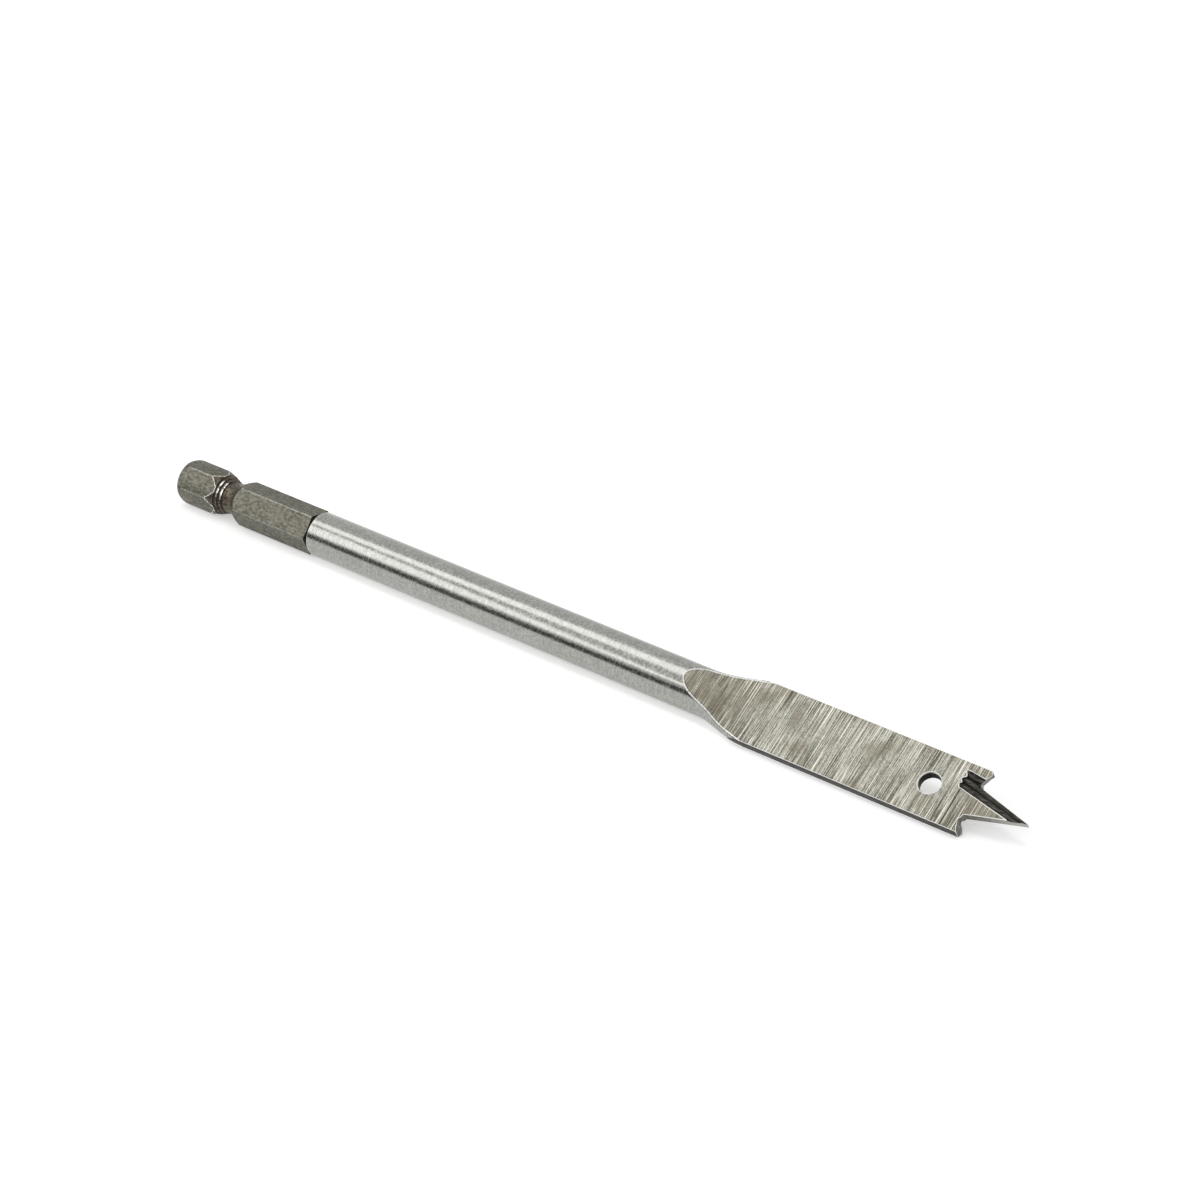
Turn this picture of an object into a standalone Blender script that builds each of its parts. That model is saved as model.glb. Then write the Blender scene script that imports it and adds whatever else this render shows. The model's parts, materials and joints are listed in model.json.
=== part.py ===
"""A spade drill bit with a hexagon shank, forged and ground from one bar of steel.

The bit is modelled along +X, from the end of its shank to the tip of its point, with the blade flat in
the XY plane and one cutting face up. It is turned half a turn about X into itself, so each cutter of the
upper face and the far edge is used once more, half a turn round, for the underside and the near edge.
At the end it is rolled about X until it lies on its round shaft and the near edge of the blade.
"""

import math

import bmesh
import bpy
from mathutils import Matrix

MM = 0.001

# Whole bit
LENGTH = 152.0 * MM
SHAFT_DIAMETER = 7.0 * MM
SHAFT_SIDES = 32
TURNED_SIDES = 48

# Hexagon shank
HEX_SIDES = 6
HEX_ACROSS_FLATS = 6.35 * MM
HEX_ACROSS_CORNERS = 7.18 * MM
HEX_LENGTH = 27.4 * MM
HEX_TURN = math.radians(22.0)
END_ROUNDING_LENGTH = 1.3 * MM
END_ROUNDING_DEPTH = 0.75 * MM

# Quick-change groove of the shank
GROOVE_CENTRE = 9.4 * MM
GROOVE_WIDTH = 6.0 * MM
NECK_DIAMETER = 4.9 * MM
RIDGE_COUNT = 3
RIDGE_PITCH = 0.65 * MM
RIDGE_HEIGHT = 0.11 * MM

# Recess between the shank and the shaft, and the rounded rim of the shaft
RECESS_WIDTH = 0.25 * MM
RECESS_DEPTH = 0.2 * MM
RIM_RADIUS = 0.3 * MM

# Forging of the round bar, which spreads it to a flare and presses it down to one thickness
FLARE_START = 99.5 * MM
FLARE_BLEND_RADIUS = 11.0 * MM
FLARE_ANGLE = math.radians(15.0)
FORGED_ALLOWANCE = 0.9 * MM
FORGED_THICKNESS = 3.5 * MM
PRESSED_START = 98.9 * MM
PRESSED_LENGTH = 7.0 * MM
SECTION_STEP = 0.7 * MM

# Faces of the blade, and the ramp that leads up from them to the shaft
BLADE_WIDTH = 10.0 * MM
BLADE_THICKNESS = 1.6 * MM
RAMP_START = 97.3 * MM
RAMP_ANGLE = math.radians(20.0)
RAMP_BLEND_RADIUS = 8.0 * MM

# Point, throats and spurs
POINT_ANGLE = math.radians(30.0)
POINT_STANDS_OUT = 7.85 * MM
THROAT_DEPTH = 0.8 * MM
THROAT_RADIUS = 0.65 * MM
THROAT_MOST_OF_LIP = 0.4
SPUR_INSET = 0.65 * MM
SPUR_CORNER_DROP = 0.3 * MM
LIP_RELIEF_ANGLE = math.radians(22.0)
RELIEF_PAST = 0.05 * MM

# Hollow-ground channels behind each lip and along each flank of the point
CHANNEL_COUNT = 3
CHANNEL_RADIUS = 0.55 * MM
CHANNEL_DEPTH = 0.4 * MM
CHANNEL_PITCH = 0.87 * MM
CHANNEL_RUN = 3.65 * MM
CHANNEL_NOSE = 0.6 * MM
CHANNEL_FIRST_INSET = 1.55 * MM
LIP_CHANNEL_HEADING = math.radians(6.0)
POINT_CHANNEL_HEADING = math.radians(12.4)
CHANNEL_SIDES = 24

# Hole through the blade
HOLE_DIAMETER = 3.2 * MM
HOLE_FROM_TIP = 15.1 * MM
HOLE_CHAMFER = 0.12 * MM

# How far a cutter runs past what it cuts, and how far one solid is let into the next
PAST = 1.5 * MM

# How finely arcs are divided, which points are welded and which edges are shaded sharp
ARC_STEP = math.radians(7.5)
MERGE_DISTANCE = 0.001 * MM
SHARP_ANGLE = math.radians(30.0)

# Sizes that follow from those above
SHAFT_RADIUS = SHAFT_DIAMETER / 2
HALF_WIDTH = BLADE_WIDTH / 2
HALF_THICKNESS = BLADE_THICKNESS / 2
FORGED_HALF_WIDTH = HALF_WIDTH + FORGED_ALLOWANCE
SPUR_X = LENGTH - POINT_STANDS_OUT
REST_HEIGHT = SHAFT_RADIUS * math.cos(math.pi / SHAFT_SIDES)

HALF_TURN = Matrix.Rotation(math.pi, 4, "X")
ALONG_X = Matrix(((0, 0, 1, 0), (1, 0, 0, 0), (0, 1, 0, 0), (0, 0, 0, 1)))


def rest_roll():
    """The roll at which the edge of the blade comes down to the level of the shaft's underside."""
    corner = math.hypot(HALF_WIDTH, HALF_THICKNESS)
    lean = math.asin(min(1.0, REST_HEIGHT / corner))
    return lean - math.atan2(HALF_THICKNESS, HALF_WIDTH)


def arc(centre, radius, start, end):
    """Points of an arc from one angle to another, about ARC_STEP apart."""
    steps = max(2, math.ceil(abs(end - start) / ARC_STEP))
    angles = [start + (end - start) * step / steps for step in range(steps + 1)]
    return [(centre[0] + radius * math.cos(a), centre[1] + radius * math.sin(a)) for a in angles]


def clear_scene():
    for obj in list(bpy.data.objects):
        bpy.data.objects.remove(obj, do_unlink=True)


def collection_named(name):
    collection = bpy.data.collections.new(name)
    bpy.context.scene.collection.children.link(collection)
    return collection


def object_from(bm, name, collection):
    """A smooth-shaded object with this mesh, its faces pointing out."""
    bmesh.ops.recalc_face_normals(bm, faces=bm.faces)
    mesh = bpy.data.meshes.new(name)
    bm.to_mesh(mesh)
    bm.free()
    mesh.shade_smooth()
    mesh.set_sharp_from_angle(angle=SHARP_ANGLE)
    obj = bpy.data.objects.new(name, mesh)
    collection.objects.link(obj)
    return obj


def as_cutter(obj):
    obj.hide_render = True
    obj.display_type = "WIRE"
    return obj


def turned(name, profile, sides, collection):
    """A solid turned about its own Z axis from (radius, z) points that run from top to bottom."""
    mesh = bpy.data.meshes.new(name)
    points = [(radius, 0.0, z) for radius, z in profile]
    mesh.from_pydata(points, [(i, i + 1) for i in range(len(points) - 1)], [])
    obj = bpy.data.objects.new(name, mesh)
    collection.objects.link(obj)
    screw = obj.modifiers.new("Turn", "SCREW")
    screw.axis = "Z"
    screw.steps = screw.render_steps = sides
    screw.use_merge_vertices = True
    screw.merge_threshold = MERGE_DISTANCE
    screw.use_smooth_shade = True
    return obj


def extruded(name, outline, half_depth, collection):
    """A mesh object made from a flat outline, extruded by half_depth to each side of its own plane."""
    curve = bpy.data.curves.new(name, "CURVE")
    curve.dimensions = "2D"
    curve.fill_mode = "BOTH"
    curve.extrude = half_depth
    spline = curve.splines.new("POLY")
    spline.points.add(len(outline) - 1)
    for point, (x, y) in zip(spline.points, outline):
        point.co = (x, y, 0.0, 1.0)
    spline.use_cyclic_u = True
    flat = bpy.data.objects.new(name + "_outline", curve)
    collection.objects.link(flat)
    evaluated = flat.evaluated_get(bpy.context.evaluated_depsgraph_get())
    loose = bpy.data.meshes.new_from_object(evaluated)
    bm = bmesh.new()
    bm.from_mesh(loose)
    bmesh.ops.remove_doubles(bm, verts=bm.verts, dist=MERGE_DISTANCE)
    bpy.data.meshes.remove(loose)
    bpy.data.objects.remove(flat, do_unlink=True)
    return object_from(bm, name, collection)


def half_turn_copy(obj, collection):
    """The same cutter for the other face, half a turn round the bit's axis."""
    copy = obj.copy()
    copy.name = obj.name + "_half_turn"
    copy.matrix_world = HALF_TURN @ obj.matrix_world
    collection.objects.link(copy)
    return as_cutter(copy)


def combine(target, operation, other):
    """Adds a live Boolean of another object, or of a whole collection at once, to the target."""
    boolean = target.modifiers.new(operation.title() + " " + other.name, "BOOLEAN")
    boolean.operation = operation
    boolean.solver = "EXACT"
    if isinstance(other, bpy.types.Collection):
        boolean.operand_type = "COLLECTION"
        boolean.collection = other
    else:
        boolean.object = other


def groove_profile():
    """(radius, x) points of the groove, front to rear: a round front half, then a ridged rear flank."""
    corner = HEX_ACROSS_CORNERS / 2
    neck = NECK_DIAMETER / 2
    depth = corner - neck
    half = GROOVE_WIDTH / 2
    radius = (half * half + depth * depth) / (2 * depth)
    sweep = math.asin(half / radius)
    front = arc((neck + radius, GROOVE_CENTRE), radius, math.pi - sweep, math.pi)
    rear_edge = GROOVE_CENTRE - half
    slope = depth / half
    ridges = []
    for ridge in range(RIDGE_COUNT):
        root = GROOVE_CENTRE - RIDGE_PITCH * (ridge + 0.5)
        crest = root - RIDGE_PITCH / 2
        ridges.append((neck + slope * (GROOVE_CENTRE - root) - RIDGE_HEIGHT / 2, root))
        ridges.append((neck + slope * (GROOVE_CENTRE - crest) + RIDGE_HEIGHT / 2, crest))
    return front + ridges + [(corner, rear_edge)]


def shank_profile():
    """(radius, x) points of the turned shape that the hexagon bar is cut to, front to rear."""
    corner = HEX_ACROSS_CORNERS / 2
    recess = min(HEX_ACROSS_FLATS / 2, SHAFT_RADIUS) - RECESS_DEPTH
    let_in = HEX_LENGTH + PAST
    front = [(0.0, let_in), (recess, let_in), (recess, HEX_LENGTH - RECESS_WIDTH)]
    front.append((corner, HEX_LENGTH - RECESS_WIDTH - RECESS_DEPTH))
    ends = arc((0.0, 0.0), 1.0, 0.0, math.pi / 2)
    rounding = [
        (
            corner - END_ROUNDING_DEPTH * (1 - along),
            END_ROUNDING_LENGTH * (1 - down),
        )
        for along, down in ends
    ]
    return front + groove_profile() + rounding + [(0.0, 0.0)]


def hexagon_shank(collection):
    """The hexagon bar with its turned end, groove and recess."""
    bm = bmesh.new()
    reach = HEX_LENGTH + 2 * PAST
    middle = Matrix.Translation((reach / 2 - PAST, 0.0, 0.0))
    corner_up = Matrix.Rotation(HEX_TURN - math.pi / 2, 4, "X")
    sharp_corner = HEX_ACROSS_FLATS / 2 / math.cos(math.pi / HEX_SIDES)
    bmesh.ops.create_cone(
        bm,
        cap_ends=True,
        segments=HEX_SIDES,
        radius1=sharp_corner,
        radius2=sharp_corner,
        depth=reach,
        matrix=middle @ corner_up @ ALONG_X,
    )
    bar = as_cutter(object_from(bm, "hexagon_bar", collection))
    envelope = as_cutter(turned("shank_envelope", shank_profile(), TURNED_SIDES, collection))
    envelope.matrix_world = ALONG_X
    combine(bar, "INTERSECT", envelope)
    return bar


def bar_half_width(x):
    """Half the width of the forged bar: the shaft, a blend arc, a straight flare, then its full width."""
    past_start = max(0.0, x - FLARE_START)
    in_blend = min(past_start, FLARE_BLEND_RADIUS * math.sin(FLARE_ANGLE))
    rise = FLARE_BLEND_RADIUS - math.sqrt(FLARE_BLEND_RADIUS**2 - in_blend**2)
    rise += (past_start - in_blend) * math.tan(FLARE_ANGLE)
    return min(SHAFT_RADIUS + rise, FORGED_HALF_WIDTH)


def bar_half_height(x):
    """Half the height of the forged bar, which falls in a smooth wave from the shaft to the pressed part."""
    along = min(1.0, max(0.0, (x - PRESSED_START) / PRESSED_LENGTH))
    pressed = (1.0 - math.cos(math.pi * along)) / 2
    return SHAFT_RADIUS + pressed * (FORGED_THICKNESS / 2 - SHAFT_RADIUS)


def bar_sections():
    """(x, half width, half height) of the forged bar, from the rim behind to past the point."""
    rim = arc((HEX_LENGTH + RIM_RADIUS, SHAFT_RADIUS - RIM_RADIUS), RIM_RADIUS, math.pi, math.pi / 2)
    start = min(FLARE_START, PRESSED_START)
    flare_length = (FORGED_HALF_WIDTH - SHAFT_RADIUS) / math.tan(FLARE_ANGLE)
    end = max(FLARE_START + flare_length + FLARE_BLEND_RADIUS * FLARE_ANGLE, PRESSED_START + PRESSED_LENGTH)
    steps = math.ceil((end - start) / SECTION_STEP)
    places = [start + (end - start) * step / steps for step in range(steps + 1)]
    sections = [(x, radius, radius) for x, radius in rim]
    return sections + [(x, bar_half_width(x), bar_half_height(x)) for x in [*places, LENGTH + PAST]]


def forged_bar(collection):
    """The round shaft and the flared, flattened bar in front of it, as a loft through its sections."""
    facet_down = Matrix.Rotation(math.pi / SHAFT_SIDES - rest_roll(), 4, "X")
    bm = bmesh.new()
    rings = []
    for x, half_width, half_height in bar_sections():
        squash = Matrix.Diagonal((1.0, half_width, half_height, 1.0))
        matrix = Matrix.Translation((x, 0.0, 0.0)) @ squash @ facet_down @ ALONG_X
        before = set(bm.edges)
        bmesh.ops.create_circle(bm, segments=SHAFT_SIDES, radius=1.0, matrix=matrix)
        rings.append([edge for edge in bm.edges if edge not in before])
    for ring, following in zip(rings, rings[1:]):
        bmesh.ops.bridge_loops(bm, edges=ring + following)
    bmesh.ops.holes_fill(bm, edges=rings[0] + rings[-1], sides=0)
    return object_from(bm, "spade_bit", collection)


def face_cutter(collection):
    """What is ground from above the blade's upper face and its ramp."""
    high = SHAFT_RADIUS + PAST
    foot = RAMP_START + (SHAFT_RADIUS - HALF_THICKNESS) / math.tan(RAMP_ANGLE)
    tangent = RAMP_BLEND_RADIUS * math.tan(RAMP_ANGLE / 2)
    blend_centre = (foot + tangent, HALF_THICKNESS + RAMP_BLEND_RADIUS)
    down = -math.pi / 2
    outline = [(RAMP_START - PAST / math.tan(RAMP_ANGLE), high)]
    outline += arc(blend_centre, RAMP_BLEND_RADIUS, down - RAMP_ANGLE, down)
    outline += [(LENGTH + 2 * PAST, HALF_THICKNESS), (LENGTH + 2 * PAST, high)]
    cutter = extruded("face_cutter", outline, FORGED_HALF_WIDTH + PAST, collection)
    cutter.matrix_world = Matrix.Rotation(math.pi / 2, 4, "X")
    return as_cutter(cutter)


def throat_circle():
    """(x, y, radius) of the throat, which touches the flank and is no rounder than the lip has room for."""
    flank = POINT_ANGLE / 2
    lip_width = HALF_WIDTH - SPUR_INSET - (LENGTH - SPUR_X) * math.tan(flank)
    radius = min(THROAT_RADIUS, THROAT_MOST_OF_LIP * lip_width)
    x = SPUR_X - THROAT_DEPTH + radius
    return x, (LENGTH - x) * math.tan(flank) + radius / math.cos(flank), radius


def nose_outline():
    """Plan of what is ground from the far edge and the front, at the level of the cutting face."""
    flank = POINT_ANGLE / 2
    x, y, radius = throat_circle()
    spur = (SPUR_X, HALF_WIDTH - SPUR_INSET)
    to_spur = (spur[0] - x, spur[1] - y)
    start = math.atan2(to_spur[1], to_spur[0]) + math.acos(radius / math.hypot(*to_spur))
    throat = arc((x, y), radius, start, 1.5 * math.pi - flank)
    beyond = (LENGTH + PAST, -PAST * math.tan(flank))
    wide = FORGED_HALF_WIDTH + PAST
    outline = [(FLARE_START, HALF_WIDTH), (SPUR_X - SPUR_CORNER_DROP, HALF_WIDTH), spur]
    outline += throat + [beyond, (LENGTH + 2 * PAST, beyond[1])]
    return outline + [(LENGTH + 2 * PAST, wide), (FLARE_START, wide)]


def relief_share(y):
    """How much of the lip's relief there is this far from the axis: none at the edge and at the flank."""
    _, throat_y, radius = throat_circle()
    return max(0.0, min(1.0, (HALF_WIDTH - y) / SPUR_INSET, (y - throat_y) / radius))


def nose_cutter(collection):
    """The grinding of the far edge, lip and flank, with the lip leaning back below the cutting face."""
    cutter = extruded("nose_cutter", nose_outline(), SHAFT_RADIUS + PAST, collection)
    reach = HALF_THICKNESS + RELIEF_PAST
    bm = bmesh.new()
    bm.from_mesh(cutter.data)
    for level in (-reach, reach):
        everything = [*bm.verts, *bm.edges, *bm.faces]
        bmesh.ops.bisect_plane(
            bm, geom=everything, dist=MERGE_DISTANCE, plane_co=(0.0, 0.0, level), plane_no=(0.0, 0.0, 1.0)
        )
    for vertex in bm.verts:
        level = max(-reach, min(reach, vertex.co.z))
        lean = math.tan(LIP_RELIEF_ANGLE) * relief_share(vertex.co.y)
        vertex.co.x += lean * (level - HALF_THICKNESS)
    bm.to_mesh(cutter.data)
    bm.free()
    return as_cutter(cutter)


def hole_cutter(collection):
    """The drill for the hole, with a countersink at each face."""
    radius = HOLE_DIAMETER / 2
    straight = HALF_THICKNESS - HOLE_CHAMFER
    high = HALF_THICKNESS + PAST
    wide = radius + HOLE_CHAMFER + PAST
    profile = [(0.0, high), (wide, high), (radius, straight), (radius, -straight), (wide, -high)]
    cutter = turned("hole_cutter", profile + [(0.0, -high)], TURNED_SIDES, collection)
    cutter.location = (LENGTH - HOLE_FROM_TIP, 0.0, 0.0)
    return as_cutter(cutter)


def channel_cutter(number, collection):
    """A round-bottomed channel with a pointed rear end: number 0 cuts the lip, the others the point."""
    reach = CHANNEL_RUN + POINT_STANDS_OUT + PAST
    profile = [(0.0, reach), (CHANNEL_RADIUS, reach), (CHANNEL_RADIUS, CHANNEL_NOSE), (0.0, 0.0)]
    cutter = turned(f"channel_cutter_{number}", profile, CHANNEL_SIDES, collection)
    heading = LIP_CHANNEL_HEADING if number == 0 else POINT_CHANNEL_HEADING
    place = (
        SPUR_X - CHANNEL_RUN,
        HALF_WIDTH - CHANNEL_FIRST_INSET - number * CHANNEL_PITCH,
        HALF_THICKNESS + CHANNEL_RADIUS - CHANNEL_DEPTH,
    )
    cutter.matrix_world = Matrix.Translation(place) @ Matrix.Rotation(-heading, 4, "Z") @ ALONG_X
    return as_cutter(cutter)


def steel():
    """Bare ground steel."""
    material = bpy.data.materials.new("ground_steel")
    material.use_nodes = True
    shader = material.node_tree.nodes["Principled BSDF"]
    shader.inputs["Base Color"].default_value = (0.47, 0.46, 0.43, 1.0)
    shader.inputs["Metallic"].default_value = 1.0
    shader.inputs["Roughness"].default_value = 0.36
    return material


def spade_bit():
    """Joins the shank to the forged bar, grinds the blade and lays the bit down at rest."""
    parts = collection_named("spade drill bit")
    bars = collection_named("bars")
    cutters = collection_named("cutters")
    bit = forged_bar(parts)
    combine(bit, "UNION", hexagon_shank(bars))
    channels = [channel_cutter(number, cutters) for number in range(CHANNEL_COUNT)]
    for cutter in [face_cutter(cutters), nose_cutter(cutters), *channels]:
        half_turn_copy(cutter, cutters)
    hole_cutter(cutters)
    combine(bit, "DIFFERENCE", cutters)
    bit.data.materials.append(steel())
    lay_down([bit, *bars.objects, *cutters.objects], parts)


def lay_down(objects, collection):
    """Rolls the bit and its cutters on to the table, with the middle of its length over the origin."""
    rest = bpy.data.objects.new("rest", None)
    collection.objects.link(rest)
    for obj in objects:
        obj.parent = rest
    rest.rotation_euler = (rest_roll(), 0.0, 0.0)
    rest.location = (-LENGTH / 2, 0.0, REST_HEIGHT)
    bpy.context.view_layer.update()


clear_scene()
spade_bit()
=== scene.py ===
"""The looks of a spade drill bit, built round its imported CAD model.

The bit is one bar of steel: a hexagon shank with a quick-change groove, a round shaft, and a forged
blade that is milled flat and ground to a hollow-ground point with spurs. It is modelled in a frame of
its own, with x along the bit from the end of the shank and z up out of the blade's face, and then laid
down where the CAD model lies.
"""

from __future__ import annotations

import json
import logging
import math
import random
from abc import ABC, abstractmethod
from collections.abc import Callable, Iterable
from dataclasses import dataclass, field
from enum import Enum

import bmesh
import bpy
from bmesh.types import BMesh, BMFace, BMVert
from bpy.types import Collection, Light, Material, Mesh, Node, NodeSocket, Object
from mathutils import Matrix, Vector

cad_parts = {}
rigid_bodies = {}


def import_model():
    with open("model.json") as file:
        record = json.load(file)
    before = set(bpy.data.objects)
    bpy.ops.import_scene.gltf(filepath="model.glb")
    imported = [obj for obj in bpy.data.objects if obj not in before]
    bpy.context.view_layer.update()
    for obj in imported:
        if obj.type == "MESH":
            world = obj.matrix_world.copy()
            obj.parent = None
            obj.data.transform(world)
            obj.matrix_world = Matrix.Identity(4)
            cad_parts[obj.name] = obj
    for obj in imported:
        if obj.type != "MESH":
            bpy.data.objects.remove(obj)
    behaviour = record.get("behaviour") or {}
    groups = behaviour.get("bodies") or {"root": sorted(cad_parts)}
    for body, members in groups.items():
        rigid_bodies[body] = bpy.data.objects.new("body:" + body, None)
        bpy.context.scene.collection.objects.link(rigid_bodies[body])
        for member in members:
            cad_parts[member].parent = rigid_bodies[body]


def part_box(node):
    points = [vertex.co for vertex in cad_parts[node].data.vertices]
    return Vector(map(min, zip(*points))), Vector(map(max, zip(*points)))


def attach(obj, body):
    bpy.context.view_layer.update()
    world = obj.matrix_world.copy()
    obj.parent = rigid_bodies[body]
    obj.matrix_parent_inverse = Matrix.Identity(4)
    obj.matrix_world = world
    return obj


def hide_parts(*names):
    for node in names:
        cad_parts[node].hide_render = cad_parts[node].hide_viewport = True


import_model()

LOG = logging.getLogger("spade_bit")
MM = 0.001
NODE = "spade_bit"
BODY = "root"

Triple = tuple[float, float, float]
Colour = Triple
Span = tuple[float, float]
Fade = tuple[float, float, float, float]

SWING: Span = (0.3, 0.7)
"""The values between which nearly all of a noise lies."""


# Finishes


class Finish(Enum):
    """The kinds of surface on the bit, in the order of the finished piece's material slots."""

    SHAFT = "turned_shaft"
    RIM = "polished_rim"
    FLAT = "darkened_flat"
    CORNER = "turned_corner"
    END = "shank_end"
    GROOVE = "chuck_groove"
    CREST = "groove_crest"
    RECESS = "shank_recess"
    FACE = "milled_face"
    EDGE = "ground_edge"
    LIP = "ground_lip"
    CHANNEL = "hollow_grinding"
    HOLE = "drilled_wall"
    COUNTERSINK = "countersink"
    BURR_HIGHLIGHT = "bright_burr"

    @property
    def index(self) -> int:
        """This finish's place among the material slots."""
        return list(Finish).index(self)


@dataclass(frozen=True)
class Placement:
    """How the bit's own frame lies in the row's frame.

    Attributes:
        roll: turn about the bit's axis, in radians.
        shift: the bit's origin in the row's frame, in metres.
    """

    roll: float
    shift: Vector

    def matrix(self) -> Matrix:
        """The transform from the bit's frame to the row's."""
        return Matrix.Translation(self.shift) @ Matrix.Rotation(self.roll, 4, "X")


@dataclass(frozen=True)
class Grain:
    """How fine a noise is.

    Attributes:
        per_mm: how many swings there are in a millimetre along the bit's x, y and z.
        detail: how many finer layers it has.
        offset: moves the pattern, so that two noises differ.
        layering: how strong each finer layer is against the one before.
    """

    per_mm: Triple
    detail: float = 3.0
    offset: float = 0.0
    layering: float = 0.6


class FinishBoard:
    """The node tree of one finish, with a short method for each kind of node that it needs."""

    def __init__(self, name: str, place: Placement) -> None:
        """Starts a material and its coordinates.

        Args:
            name: the material's name.
            place: how the bit lies, which the patterns undo.
        """
        self.material = bpy.data.materials.new(name)
        self.material.use_nodes = True
        self.tree = self.material.node_tree
        self.shader = self.tree.nodes["Principled BSDF"]
        self.bit = self._bit_coordinates(place)

    def node(self, kind: str, **settings: object) -> Node:
        """Adds a node.

        Args:
            kind: the node's type, without its ShaderNode prefix.
            settings: properties to set on it.

        Returns:
            The new node.
        """
        made = self.tree.nodes.new("ShaderNode" + kind)
        for key, value in settings.items():
            setattr(made, key, value)
        return made

    def feed(self, target: NodeSocket, source: NodeSocket | float | tuple) -> None:
        """Links a socket to an input, or sets the input to a value.

        Args:
            target: the input socket.
            source: an output socket, or a plain value.
        """
        if isinstance(source, NodeSocket):
            self.tree.links.new(source, target)
        elif isinstance(source, tuple) and len(source) == 3 and target.type == "RGBA":
            target.default_value = (*source, 1.0)
        else:
            target.default_value = source

    def _bit_coordinates(self, place: Placement) -> NodeSocket:
        """Object coordinates turned into the bit's own frame, in millimetres.

        Args:
            place: how the bit lies.

        Returns:
            The mapped vector.
        """
        mapping = self.node("Mapping", vector_type="POINT")
        self.feed(mapping.inputs["Vector"], self.node("TexCoord").outputs["Object"])
        unroll = Matrix.Rotation(-place.roll, 3, "X")
        mapping.inputs["Location"].default_value = -(unroll @ place.shift) / MM
        mapping.inputs["Rotation"].default_value = (-place.roll, 0.0, 0.0)
        mapping.inputs["Scale"].default_value = (1 / MM,) * 3
        return mapping.outputs["Vector"]

    def along(self, axis: str) -> NodeSocket:
        """One coordinate of the bit's frame, in millimetres: X, Y or Z."""
        split = self.node("SeparateXYZ")
        self.feed(split.inputs[0], self.bit)
        return split.outputs[axis]

    def noise(self, grain: Grain) -> NodeSocket:
        """A noise in the bit's frame.

        Args:
            grain: how fine it is.

        Returns:
            The noise, about 0.5 in the mean.
        """
        scaled = self.node("VectorMath", operation="MULTIPLY_ADD")
        self.feed(scaled.inputs[0], self.bit)
        self.feed(scaled.inputs[1], grain.per_mm)
        self.feed(scaled.inputs[2], (grain.offset,) * 3)
        noise = self.node("TexNoise", noise_dimensions="3D")
        self.feed(noise.inputs["Vector"], scaled.outputs[0])
        self.feed(noise.inputs["Scale"], 1.0)
        self.feed(noise.inputs["Detail"], grain.detail)
        self.feed(noise.inputs["Roughness"], grain.layering)
        return noise.outputs[0]

    def range(
        self, value: NodeSocket, low: float, high: float, to_low: float = 0.0, to_high: float = 1.0
    ) -> NodeSocket:
        """Maps a value smoothly from one range to another and holds it there.

        Args:
            value: what is mapped.
            low: the value that gives to_low.
            high: the value that gives to_high.
            to_low: the result at low.
            to_high: the result at high.

        Returns:
            The mapped value.
        """
        mapped = self.node("MapRange", interpolation_type="SMOOTHSTEP")
        self.feed(mapped.inputs["Value"], value)
        names = ("From Min", "From Max", "To Min", "To Max")
        for name, number in zip(names, (low, high, to_low, to_high)):
            self.feed(mapped.inputs[name], number)
        return mapped.outputs["Result"]

    def uneven(self, value: NodeSocket, middle: float, change: Span) -> NodeSocket:
        """A number that a noise makes smaller and larger.

        Args:
            value: the noise.
            middle: the number.
            change: what is added to it where the noise is low and where it is high.

        Returns:
            The changing number.
        """
        return self.range(value, *SWING, middle + change[0], middle + change[1])

    def maths(self, operation: str, first: NodeSocket, second: NodeSocket | float) -> NodeSocket:
        """Adds a Math node.

        Args:
            operation: what it does.
            first: its first input.
            second: its second input.

        Returns:
            Its result.
        """
        made = self.node("Math", operation=operation)
        self.feed(made.inputs[0], first)
        self.feed(made.inputs[1], second)
        return made.outputs[0]

    def mixed(self, share: float, first: NodeSocket, second: NodeSocket) -> NodeSocket:
        """Mixes two values.

        Args:
            share: how much of the first there is.
            first: a value.
            second: another value.

        Returns:
            The mixed value.
        """
        parts = self.maths("MULTIPLY", first, share), self.maths("MULTIPLY", second, 1 - share)
        return self.maths("ADD", *parts)

    def blend(
        self, share: NodeSocket, first: NodeSocket | Colour, second: NodeSocket | Colour
    ) -> NodeSocket:
        """Mixes two colours.

        Args:
            share: how much of the second there is.
            first: a colour or a socket.
            second: a colour or a socket.

        Returns:
            The mixed colour.
        """
        mix = self.node("Mix", data_type="RGBA")
        self.feed(mix.inputs["Factor"], share)
        self.feed(mix.inputs[6], first)
        self.feed(mix.inputs[7], second)
        return mix.outputs[2]

    def bump(self, height: NodeSocket, depth: float) -> None:
        """Bumps the surface.

        Args:
            height: the relief, from 0 to 1.
            depth: how deep a relief of 1 is, in metres.
        """
        bump = self.node("Bump")
        self.feed(bump.inputs["Strength"], 1.0)
        self.feed(bump.inputs["Distance"], depth)
        self.feed(bump.inputs["Height"], height)
        self.feed(self.shader.inputs["Normal"], bump.outputs["Normal"])

    def set(self, name: str, value: NodeSocket | float | Colour) -> None:
        """Sets one of the shader's inputs."""
        self.feed(self.shader.inputs[name], value)


class Steel(ABC):
    """A finish of steel. Each kind draws a pattern of its own."""

    def material(self, name: str, place: Placement) -> Material:
        """Makes the material.

        Args:
            name: the material's name.
            place: how the bit lies.

        Returns:
            The material.
        """
        board = FinishBoard(name, place)
        self.draw(board)
        return board.material

    @abstractmethod
    def draw(self, board: FinishBoard) -> None:
        """Draws the finish's colours and relief.

        Args:
            board: the new material's board.
        """


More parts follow.
